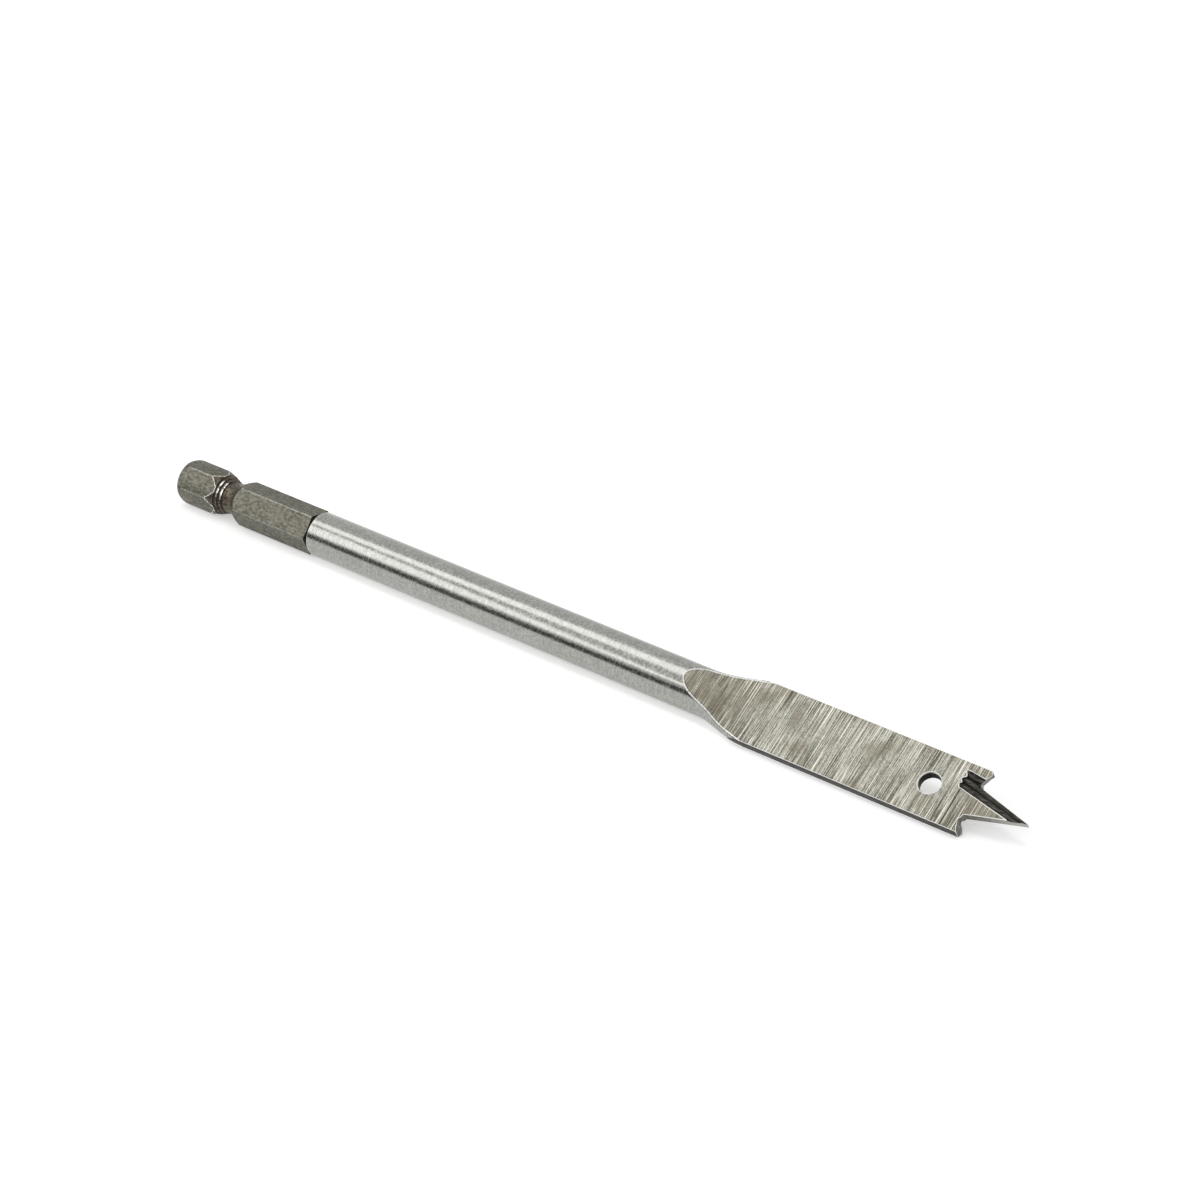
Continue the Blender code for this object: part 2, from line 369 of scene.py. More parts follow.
@dataclass(frozen=True)
class TurnedSteel(Steel):
    """Bright steel with marks that run round it.

    Attributes:
        light: colour of the crests of the marks.
        dark: colour of their valleys.
        roughness: how soft its reflections are.
        rougher: what is added to the roughness in the grain's valleys and on its crests.
        marks: how fine the marks are.
        grain: how fine the grain between them is.
        mark_share: how strong the marks are against the grain.
        contrast: the values at which the dark ends and the light begins.
        bands: the broad darker bands.
        band_fade: how a band's noise becomes its strength.
        pits: the few dark pits.
        pit_fade: how the pits' noise becomes their strength.
        pit: their colour.
        mark_depth: how deep the marks are, in metres.
        spread: how much further reflections spread along the bit than round it.
    """

    light: Colour = (0.44, 0.44, 0.415)
    dark: Colour = (0.28, 0.28, 0.26)
    roughness: float = 0.23
    rougher: Span = (-0.06, 0.08)
    marks: Grain = Grain((9.0, 0.5, 0.5))
    grain: Grain = Grain((2.8, 2.8, 2.8), offset=19.0)
    mark_share: float = 0.4
    contrast: Span = (0.38, 0.62)
    bands: Grain = Grain((0.35, 0.5, 0.5), 2.0, 11.0)
    band_fade: Fade = (0.35, 0.75, 0.0, 0.25)
    pits: Grain = Grain((3.0, 4.0, 4.0), 1.0, 31.0)
    pit_fade: Fade = (0.71, 0.77, 0.0, 0.8)
    pit: Colour = (0.16, 0.155, 0.14)
    mark_depth: float = 0.0024 * MM
    spread: float = 0.6

    def draw(self, board: FinishBoard) -> None:
        """Draws the marks, the grain and the pits.

        Args:
            board: the new material's board.
        """
        grain = board.noise(self.grain)
        marks = board.mixed(self.mark_share, board.noise(self.marks), grain)
        colour = board.blend(board.range(marks, *self.contrast), self.dark, self.light)
        bands = board.range(board.noise(self.bands), *self.band_fade)
        colour = board.blend(bands, colour, self.dark)
        pits = board.range(board.noise(self.pits), *self.pit_fade)
        board.set("Base Color", board.blend(pits, colour, self.pit))
        board.set("Metallic", 1.0)
        board.set("Roughness", board.uneven(grain, self.roughness, self.rougher))
        board.set("Anisotropic", self.spread)
        axis = board.node("CombineXYZ")
        board.feed(axis.inputs[0], 1.0)
        board.feed(board.shader.inputs["Tangent"], axis.outputs[0])
        board.bump(marks, self.mark_depth)


@dataclass(frozen=True)
class DarkenedSteel(Steel):
    """Steel that is dark from its heat treatment, mottled and scuffed. The recess uses it near black as painted
    shade, and the groove's crests near white as a painted glint.

    Attributes:
        light: colour of the lighter mottles.
        dark: colour of the darker ones.
        scuff: colour of the worn specks.
        metallic: how much of it is bare metal.
        roughness: how soft its reflections are.
        rougher: what is added to the roughness where the mottles are dark and where they are light.
        grain_per_mm: how fine the mottles are.
        mottle_stretch: how fine they are along x, y and z against that.
        fine_stretch: how fine the relief's grain is against that.
        mottling: the values of the noise where the dark mottles end and the light ones begin.
        clouds: the broad lighter clouds.
        cloud_fade: how the clouds' noise becomes their strength.
        scuffs: share of the surface that is worn bright, from 0 to 1.
        worn: the values of the grain where wear begins and where it is full, without any scuffs.
        worn_reach: how far full scuffs move those values down.
        depth: how deep its grain is, in metres.
    """

    light: Colour = (0.188, 0.181, 0.141)
    dark: Colour = (0.080, 0.077, 0.061)
    scuff: Colour = (0.40, 0.39, 0.33)
    metallic: float = 0.75
    roughness: float = 0.48
    rougher: Span = (0.08, -0.08)
    grain_per_mm: float = 2.6
    mottle_stretch: Triple = (0.7, 1.0, 1.0)
    fine_stretch: Triple = (2.4, 3.2, 3.2)
    mottling: Span = (0.32, 0.68)
    clouds: Grain = Grain((0.5, 0.7, 0.7), 2.0, 13.0)
    cloud_fade: Fade = (0.35, 0.7, 0.0, 0.3)
    scuffs: float = 0.2
    worn: Span = (0.70, 0.86)
    worn_reach: float = 0.2
    depth: float = 0.008 * MM

    def draw(self, board: FinishBoard) -> None:
        """Draws the mottles, the clouds and the scuffs.

        Args:
            board: the new material's board.
        """
        mottle, fine = (
            tuple(self.grain_per_mm * share for share in stretch)
            for stretch in (self.mottle_stretch, self.fine_stretch)
        )
        mottles = board.noise(Grain(mottle, 5.0))
        relief = board.noise(Grain(fine, offset=7.0))
        worn = board.range(relief, *(edge - self.worn_reach * self.scuffs for edge in self.worn))
        clouds = board.range(board.noise(self.clouds), *self.cloud_fade)
        colour = board.blend(board.range(mottles, *self.mottling), self.dark, self.light)
        colour = board.blend(clouds, colour, self.light)
        board.set("Base Color", board.blend(worn, colour, self.scuff))
        board.set("Metallic", self.metallic)
        board.set("Roughness", board.uneven(mottles, self.roughness, self.rougher))
        board.bump(relief, self.depth)


@dataclass(frozen=True)
class MilledSteel(Steel):
    """The blade's flat face, milled across, with light and dark streaks along the bit's y.

    Attributes:
        light: colour of the light streaks.
        dark: colour of the dark streaks.
        tint: a browner colour that the ramp, the point and some patches have.
        scratch: colour of the thin bright scratches.
        scar: colour of the thin dark ones.
        ink: colour of the scribed line.
        roughness: how soft its reflections are.
        rougher: what is added to the roughness in the dark streaks and in the light ones.
        fine: the fine streaks.
        broad: the broad ones.
        fine_share: how strong the fine ones are against the broad.
        grit: the grit in the streaks.
        grit_height: how far it lifts and lowers them.
        contrast: the values at which the dark ends and the light begins.
        patches: the brown patches.
        patch_fade: how their noise becomes their strength.
        ramp: how strong the ramp's brown is along the bit, in millimetres.
        point: the same for the point's.
        scratches: the bright scratches.
        scratch_fade: how their noise becomes their strength.
        scars: the dark scratches.
        scar_fade: how their noise becomes their strength.
        scribe: where along the bit, in millimetres, one dark line crosses the face.
        scribe_fade: how strong it is at a distance, in millimetres.
        scribe_end: how strong it is across the face, in millimetres.
        depth: how deep the cutter's marks are, in metres.
    """

    light: Colour = (0.385, 0.377, 0.322)
    dark: Colour = (0.085, 0.082, 0.066)
    tint: Colour = (0.125, 0.109, 0.078)
    scratch: Colour = (0.66, 0.65, 0.59)
    scar: Colour = (0.04, 0.037, 0.03)
    ink: Colour = (0.025, 0.024, 0.02)
    roughness: float = 0.38
    rougher: Span = (0.08, -0.08)
    fine: Grain = Grain((7.5, 0.09, 0.09), 2.0)
    broad: Grain = Grain((3.0, 0.06, 0.06), 2.0, 5.0)
    fine_share: float = 0.84
    grit: Grain = Grain((9.0, 3.0, 3.0), 2.0, 23.0)
    grit_height: float = 0.06
    contrast: Span = (0.37, 0.61)
    patches: Grain = Grain((0.35, 0.25, 0.25), 3.0, 17.0)
    patch_fade: Fade = (0.42, 0.66, 0.0, 0.55)
    ramp: Fade = (103.0, 113.0, 0.42, 0.0)
    point: Fade = (138.0, 146.0, 0.0, 0.6)
    scratches: Grain = Grain((7.0, 0.08, 0.08), 1.0, 41.0)
    scratch_fade: Fade = (0.62, 0.67, 0.0, 0.85)
    scars: Grain = Grain((6.0, 0.06, 0.06), 1.0, 53.0)
    scar_fade: Fade = (0.61, 0.66, 0.0, 0.85)
    scribe: float = 141.2
    scribe_fade: Fade = (0.05, 0.11, 1.0, 0.0)
    scribe_end: Fade = (0.9, 1.1, 0.9, 0.0)
    depth: float = 0.003 * MM

    def draw(self, board: FinishBoard) -> None:
        """Draws the streaks, what lies over them and the scribed line.

        Args:
            board: the new material's board.
        """
        streaks = board.mixed(self.fine_share, board.noise(self.fine), board.noise(self.broad))
        grit = board.uneven(board.noise(self.grit), 0.0, (-self.grit_height, self.grit_height))
        streaks = board.maths("ADD", streaks, grit)
        colour = board.blend(board.range(streaks, *self.contrast), self.dark, self.light)
        x = board.along("X")
        for value, fade, over in (
            (board.noise(self.patches), self.patch_fade, self.tint),
            (x, self.ramp, self.tint),
            (x, self.point, self.tint),
            (board.noise(self.scratches), self.scratch_fade, self.scratch),
            (board.noise(self.scars), self.scar_fade, self.scar),
        ):
            colour = board.blend(board.range(value, *fade), colour, over)
        off_line = board.maths("ABSOLUTE", board.maths("SUBTRACT", x, self.scribe), 0.0)
        near = board.range(board.along("Y"), *self.scribe_end)
        line = board.maths("MULTIPLY", board.range(off_line, *self.scribe_fade), near)
        board.set("Base Color", board.blend(line, colour, self.ink))
        board.set("Metallic", 1.0)
        board.set("Roughness", board.uneven(streaks, self.roughness, self.rougher))
        board.bump(streaks, self.depth)


@dataclass(frozen=True)
class GroundSteel(Steel):
    """Steel ground lengthwise, plain or stained. The ground edge and the hole's wall use it near black as painted
    shade, and the burrs near white as a painted highlight.

    Attributes:
        light: colour of the light lines.
        dark: colour of the dark lines.
        roughness: how soft its reflections are.
        rougher: what is added to the roughness between the stains and in them.
        lines_per_mm: how fine the lines are across their run.
        swings_per_mm: how fine they are along it.
        stains: the stains over the lines.
        stain_fade: how their noise becomes their strength.
        metallic: how much of it is bare metal.
        depth: how deep the lines are, in metres.
        point: how bright it gets towards the bit's point, from 0 to 1.
        point_span: where along the bit, in millimetres, that begins and is full.
        point_highlight: its colour there, a painted highlight near the tip.
    """

    # These defaults are the ground edge's colours: near black, as painted shade for the floor's contact shadow that
    # the down-facing edge reflects.
    light: Colour = (0.075, 0.072, 0.061)
    dark: Colour = (0.022, 0.021, 0.018)
    roughness: float = 0.38
    rougher: Span = (-0.05, 0.08)
    lines_per_mm: float = 5.0
    swings_per_mm: float = 0.7
    stains: Grain = Grain((0.8, 1.6, 1.6), 3.0, 9.0)
    stain_fade: Fade = (0.45, 0.75, 0.0, 0.5)
    metallic: float = 1.0
    depth: float = 0.003 * MM
    point: float = 0.0
    point_span: Span = (145.0, 151.0)
    point_highlight: Colour = (0.62, 0.61, 0.57)

    def draw(self, board: FinishBoard) -> None:
        """Draws the lines, the stains and the painted highlight towards the point.

        Args:
            board: the new material's board.
        """
        lines = board.noise(Grain((self.swings_per_mm, self.lines_per_mm, self.lines_per_mm), 4.0))
        stains = board.noise(self.stains)
        colour = board.blend(board.range(lines, *SWING), self.dark, self.light)
        colour = board.blend(board.range(stains, *self.stain_fade), colour, self.dark)
        # Painted highlight: the colour turns light along the bit towards the tip.
        tip = board.range(board.along("X"), *self.point_span, 0.0, self.point)
        board.set("Base Color", board.blend(tip, colour, self.point_highlight))
        board.set("Metallic", self.metallic)
        board.set("Roughness", board.uneven(stains, self.roughness, self.rougher))
        board.bump(lines, self.depth)


FINISHES: dict[Finish, Steel] = {
    Finish.SHAFT: TurnedSteel(),
    Finish.RIM: TurnedSteel(light=(0.60, 0.60, 0.57), dark=(0.44, 0.44, 0.41), roughness=0.22),
    Finish.FLAT: DarkenedSteel(),
    Finish.CORNER: DarkenedSteel(light=(0.33, 0.32, 0.275), dark=(0.15, 0.145, 0.12), roughness=0.36),
    Finish.END: DarkenedSteel(light=(0.118, 0.114, 0.092), dark=(0.052, 0.05, 0.04)),
    Finish.GROOVE: DarkenedSteel(
        light=(0.15, 0.125, 0.09), dark=(0.022, 0.019, 0.014), roughness=0.40, scuffs=0.3
    ),
    # Painted glint: near-white metal laid only on the top near part of the crests, where the key light reflects.
    Finish.CREST: DarkenedSteel(
        light=(1.0, 0.98, 0.92),
        dark=(0.12, 0.105, 0.08),
        metallic=1.0,
        roughness=0.3,
        grain_per_mm=2.0,
        mottling=(0.42, 0.56),
    ),
    # Painted shade: the recess at the hexagon's front is made near black for the shade in it.
    Finish.RECESS: DarkenedSteel(light=(0.06, 0.055, 0.045), dark=(0.02, 0.018, 0.015), scuffs=0.0),
    Finish.FACE: MilledSteel(),
    # Painted shade: the blade's near edge is made near black for the contact shadow that it faces.
    Finish.EDGE: GroundSteel(),
    # The lip gets a painted highlight towards the tip.
    Finish.LIP: GroundSteel(
        light=(0.24, 0.228, 0.192),
        dark=(0.10, 0.095, 0.078),
        lines_per_mm=3.0,
        metallic=0.6,
        point=0.6,
    ),
    Finish.CHANNEL: GroundSteel((0.085, 0.082, 0.07), (0.014, 0.013, 0.011), roughness=0.36),
    # Painted shade: the hole's wall is made nearly black for the shade inside the hole.
    Finish.HOLE: GroundSteel((0.022, 0.018, 0.015), (0.006, 0.005, 0.004), roughness=0.5),
    Finish.COUNTERSINK: TurnedSteel((0.92, 0.91, 0.86), (0.62, 0.61, 0.56), roughness=0.34),
    # Painted highlight: the burrs are near white and not metal, so they show as bright lines under any light.
    Finish.BURR_HIGHLIGHT: GroundSteel((1.0, 1.0, 0.98), (0.92, 0.91, 0.88), roughness=0.35, metallic=0.0),
}


def steel_slots(place: Placement) -> list[Material]:
    """One material for each finish, in the order of the slots."""
    return [FINISHES[finish].material(finish.value, place) for finish in Finish]


# Shaping


class Outline:
    """A line drawn point by point in the XY plane, then turned about X or extruded along Z."""

    def __init__(self, x: float, y: float) -> None:
        """Starts the line at a point."""
        self.bm = bmesh.new()
        self.last: BMVert = self.bm.verts.new((x, y, 0.0))

    def to(self, x: float, y: float) -> Outline:
        """Carries the line on, straight to a point."""
        here = self.bm.verts.new((x, y, 0.0))
        self.bm.edges.new((self.last, here))
        self.last = here
        return self

    def round(self, x: float, y: float, angle: float, steps: int) -> Outline:
        """Carries the line on round a centre.

        Args:
            x: the centre's x.
            y: the centre's y.
            angle: how far it turns, anticlockwise.
            steps: how many chords it has.

        Returns:
            This outline.
        """
        made = bmesh.ops.spin(
            self.bm, geom=[self.last], cent=(x, y, 0.0), axis=(0.0, 0.0, 1.0), angle=angle, steps=steps
        )
        self.last = next(item for item in made["geom_last"] if isinstance(item, BMVert))
        return self

    def turned(self, steps: int) -> BMesh:
        """Turns the line about the X axis into a closed solid.

        Args:
            steps: how many sides the solid has.

        Returns:
            The solid's mesh.
        """
        bm = self.bm
        bmesh.ops.spin(
            bm,
            geom=[*bm.verts, *bm.edges],
            cent=(0.0, 0.0, 0.0),
            axis=(1.0, 0.0, 0.0),
            angle=math.tau,
            steps=steps,
            use_merge=True,
        )
        bmesh.ops.remove_doubles(bm, verts=bm.verts, dist=0.0005 * MM)
        bmesh.ops.recalc_face_normals(bm, faces=bm.faces)
        return bm

    def extruded(self, low: float, high: float) -> BMesh:
        """Closes the line and extrudes it along Z.

        Args:
            low: z of its lower face.
            high: z of its upper face.

        Returns:
            The solid's mesh.
        """
        bm = self.bm
        bm.verts.ensure_lookup_table()
        bm.edges.new((self.last, bm.verts[0]))
        bmesh.ops.contextual_create(bm, geom=bm.edges)
        bmesh.ops.translate(bm, vec=(0.0, 0.0, low), verts=bm.verts)
        raised = bmesh.ops.extrude_face_region(bm, geom=bm.faces)["geom"]
        lifted = [item for item in raised if isinstance(item, BMVert)]
        bmesh.ops.translate(bm, vec=(0.0, 0.0, high - low), verts=lifted)
        bmesh.ops.recalc_face_normals(bm, faces=bm.faces)
        return bm


def paint(bm: BMesh, finish: Finish, where: Callable[[BMFace], bool] | None = None) -> None:
    """Gives faces a finish.

    Args:
        bm: the mesh.
        finish: the finish.
        where: which faces get it, or None for all.
    """
    for face in bm.faces:
        if where is None or where(face):
            face.material_index = finish.index


def middle_x(face: BMFace) -> float:
    """How far along the bit a face's middle is."""
    return face.calc_center_median().x


@dataclass
class Workshop:
    """Where shapes are put together, with the materials that every one of them carries.

    Attributes:
        slots: the materials, in the order of the finishes.
        tools: a hidden collection for the shapes that are joined or cut away.
    """

    slots: list[Material]
    tools: Collection = field(default_factory=lambda: bpy.data.collections.new("workshop"))

    def solid(self, bm: BMesh, name: str, collection: Collection | None = None) -> Object:
        """Makes an object of a mesh.

        Args:
            bm: the mesh, which is freed.
            name: the object's name.
            collection: where it goes, or None for the tools.

        Returns:
            The object.
        """
        mesh = bpy.data.meshes.new(name)
        bm.to_mesh(mesh)
        bm.free()
        for material in self.slots:
            mesh.materials.append(material)
        obj = bpy.data.objects.new(name, mesh)
        (collection or self.tools).objects.link(obj)
        return obj

    def combine(self, target: Object, operation: str, other: Object | Collection) -> None:
        """Adds a Boolean to a shape.

        Args:
            target: the shape.
            operation: UNION, DIFFERENCE or INTERSECT.
            other: what is joined or cut away.
        """
        boolean = target.modifiers.new(operation.title(), "BOOLEAN")
        boolean.operation = operation
        boolean.solver = "EXACT"
        if isinstance(other, Collection):
            boolean.operand_type = "COLLECTION"
            boolean.collection = other
        else:
            boolean.object = other

    def worked(self, target: Object) -> Mesh:
        """The mesh that a shape has after its Booleans."""
        bpy.context.view_layer.update()
        graph = bpy.context.evaluated_depsgraph_get()
        return bpy.data.meshes.new_from_object(target.evaluated_get(graph))

    def put_away(self) -> None:
        """Removes every shape that was only joined or cut away."""
        for obj in list(self.tools.all_objects):
            bpy.data.objects.remove(obj, do_unlink=True)
        for child in list(self.tools.children):
            bpy.data.collections.remove(child)
        bpy.data.collections.remove(self.tools)


@dataclass
class HexShank:
    """The hexagon bar with its rounded end, quick-change groove and recess, in metres."""

    across_flats: float = 6.35 * MM
    across_corners: float = 7.18 * MM
    length: float = 27.4 * MM
    turn: float = math.radians(22.0)
    end_length: float = 1.3 * MM
    end_depth: float = 0.75 * MM
    groove_centre: float = 9.4 * MM
    groove_width: float = 6.0 * MM
    neck: float = 4.9 * MM
    ridges: int = 3
    ridge_pitch: float = 0.65 * MM
    ridge_height: float = 0.13 * MM
    ridge_land: float = 0.12 * MM
    # Which crests get a painted glint on their top near part, and how far round it reaches.
    glint_ridges: int = 2
    glint_arc: tuple[float, float] = (-0.8, 0.35)
    recess_width: float = 0.25 * MM
    recess_depth: float = 0.2 * MM
    let_in: float = 1.5 * MM

    def bar(self) -> BMesh:
        """The plain hexagon bar, longer than the shank at both ends."""
        bm = bmesh.new()
        reach = self.length + 2 * self.let_in
        radius = self.across_flats / 2 / math.cos(math.pi / 6)
        turn = Matrix.Rotation(self.turn, 4, "X") @ Matrix.Rotation(math.pi / 2, 4, "Y")
        matrix = Matrix.Translation((reach / 2 - self.let_in, 0.0, 0.0)) @ turn
        bmesh.ops.create_cone(
            bm, cap_ends=True, segments=6, radius1=radius, radius2=radius, depth=reach, matrix=matrix
        )
        paint(bm, Finish.FLAT)
        return bm

    def crest(self, ridge: int) -> float:
        """How far along the bit the crest of a ridge in the groove is."""
        return self.groove_centre - self.ridge_pitch * (ridge + 0.9)

    def has_painted_glint(self, face: BMFace, ridge: int) -> bool:
        """Whether a face is on the part of a ridge's crest that gets a painted glint, at the top where the key light
        reflects.

        Args:
            face: the face.
            ridge: which ridge, from the neck backwards.

        Returns:
            True if it gets the painted glint.
        """
        x, y, z = face.calc_center_median()
        least, most = (share * self.neck / 2 for share in self.glint_arc)
        return abs(x - self.crest(ridge)) < self.ridge_land and least < y < most and z > 0.0

    def groove_line(self, line: Outline) -> None:
        """Draws the groove from its front to its rear: a round front, then a ridged rear flank.

        Args:
            line: the shank's outline, which has come to the groove's front edge.
        """
        corner, neck, half = self.across_corners / 2, self.neck / 2, self.groove_width / 2
        depth = corner - neck
        radius = (half * half + depth * depth) / (2 * depth)
        line.round(self.groove_centre, neck + radius, -math.asin(half / radius), 20)
        slope = depth / half
        for ridge in range(self.ridges):
            root = self.groove_centre - self.ridge_pitch * (ridge + 0.45)
            crest = self.crest(ridge)
            root_radius = neck + slope * (self.groove_centre - root) - self.ridge_height / 2
            crest_radius = neck + slope * (self.groove_centre - crest) + self.ridge_height / 2
            land = self.ridge_land
            line.to(root + land, root_radius).to(root - land, root_radius)
            line.to(crest + land, crest_radius).to(crest - land, crest_radius)
        line.to(self.groove_centre - half, corner)

    def envelope(self, steps: int = 192) -> BMesh:
        """The turned shape that the hexagon bar is cut to.

        Args:
            steps: how many sides it has.

        Returns:
            Its mesh.
        """
        corner = self.across_corners / 2
        bottom = self.across_flats / 2 - self.recess_depth
        front = self.length + self.let_in
        line = Outline(front, 0.0).to(front, bottom).to(self.length - self.recess_width, bottom)
        line.to(self.length - self.recess_width - self.recess_depth, corner)
        line.to(self.groove_centre + self.groove_width / 2, corner)
        self.groove_line(line)
        line.to(self.end_length, corner)
        steps_down = 10
        for step in range(1, steps_down + 1):
            down = math.radians(90.0) * step / steps_down
            line.to(self.end_length * (1 - math.sin(down)), corner - self.end_depth * (1 - math.cos(down)))
        line.to(0.0, 0.0)
        bm = line.turned(steps)
        rear, fore = (self.groove_centre + side * self.groove_width / 2 for side in (-1, 1))
        shoulder = self.length - self.recess_width - self.recess_depth
        paint(bm, Finish.CORNER)
        paint(bm, Finish.END, lambda face: middle_x(face) < self.end_length)
        paint(bm, Finish.GROOVE, lambda face: rear < middle_x(face) < fore)
        paint(bm, Finish.RECESS, lambda face: middle_x(face) > shoulder)
        # Painted glint on the top near part of the crests.
        for ridge in range(self.glint_ridges):
            paint(bm, Finish.CREST, lambda face: self.has_painted_glint(face, ridge))
        return bm

    def build(self, shop: Workshop) -> Object:
        """The shank, still with its Boolean.

        Args:
            shop: where it is made.

        Returns:
            The shank's object.
        """
        bar = shop.solid(self.bar(), "hexagon_bar")
        shop.combine(bar, "INTERSECT", shop.solid(self.envelope(), "shank_envelope"))
        return bar


@dataclass
class ForgedBar:
    """The round shaft, and the bar in front of it that is spread to a flare and pressed flat, in metres."""

    radius: float
    start: float
    length: float
    blade_half_width: float
    rim: float = 0.3 * MM
    flare_start: float = 99.5 * MM
    flare_blend: float = 11.0 * MM
    flare_angle: float = math.radians(15.0)
    allowance: float = 0.9 * MM
    pressed_half: float = 1.75 * MM
    pressed_start: float = 98.9 * MM
    pressed_length: float = 7.0 * MM
    step: float = 0.25 * MM
    sides: int = 160

    def half_width(self, x: float) -> float:
        """Half the bar's width at a place along it.

        Args:
            x: the place.

        Returns:
            The half width.
        """
        past = max(0.0, x - self.flare_start)
        in_blend = min(past, self.flare_blend * math.sin(self.flare_angle))
        rise = self.flare_blend - math.sqrt(self.flare_blend**2 - in_blend**2)
        rise += (past - in_blend) * math.tan(self.flare_angle)
        return min(self.radius + rise, self.blade_half_width + self.allowance)

    def half_height(self, x: float) -> float:
        """Half the bar's height at a place along it.

        Args:
            x: the place.

        Returns:
            The half height.
        """
        share = min(1.0, max(0.0, (x - self.pressed_start) / self.pressed_length))
        return self.radius + (1 - math.cos(math.pi * share)) / 2 * (self.pressed_half - self.radius)

    def stations(self) -> list[tuple[float, float, float]]:
        """Where the bar's sections are, with each one's half width and half height."""
        rim_steps = 8
        turns = [math.radians(90.0) * step / rim_steps for step in range(rim_steps + 1)]
        shapes = []
        for turn in turns:
            radius = self.radius - self.rim * (1 - math.sin(turn))
            shapes.append((self.start + self.rim * (1 - math.cos(turn)), radius, radius))
        first = min(self.flare_start, self.pressed_start)
        reach = self.pressed_start + self.pressed_length + self.flare_blend - first
        count = math.ceil(reach / self.step)
        places = [first + reach * step / count for step in range(count + 1)]
        shapes += [(x, self.half_width(x), self.half_height(x)) for x in [*places, self.length]]
        return shapes

    def build(self, shop: Workshop) -> Object:
        """The whole bar, as sections joined by bridges.

        Args:
            shop: where it is made.

        Returns:
            The bar's object.
        """
        bm = bmesh.new()
        upright = Matrix.Rotation(math.pi / 2, 4, "Y")
        rings = []
        for x, half_width, half_height in self.stations():
            squash = Matrix.Diagonal((1.0, half_width, half_height, 1.0))
            matrix = Matrix.Translation((x, 0.0, 0.0)) @ squash @ upright
            before = set(bm.edges)
            bmesh.ops.create_circle(bm, segments=self.sides, radius=1.0, matrix=matrix)
            rings.append([edge for edge in bm.edges if edge not in before])
        for ring, following in zip(rings, rings[1:]):
            bmesh.ops.bridge_loops(bm, edges=ring + following)
        bmesh.ops.holes_fill(bm, edges=rings[0] + rings[-1], sides=0)
        bmesh.ops.recalc_face_normals(bm, faces=bm.faces)
        paint(bm, Finish.SHAFT)
        paint(bm, Finish.RIM, lambda face: middle_x(face) < self.start + self.rim)
        return shop.solid(bm, "forged_bar")


@dataclass(frozen=True)
class Channel:
    """One hollow channel.

    Attributes:
        heading: how far it turns in towards the point, in radians.
        run: how far behind the lips it starts, in metres.
        nose: how long its pointed rear end is, in metres.
        slant: how far that end's point leans to the far side, in channel radii.
    """

    heading: float
    run: float
    nose: float
    slant: float


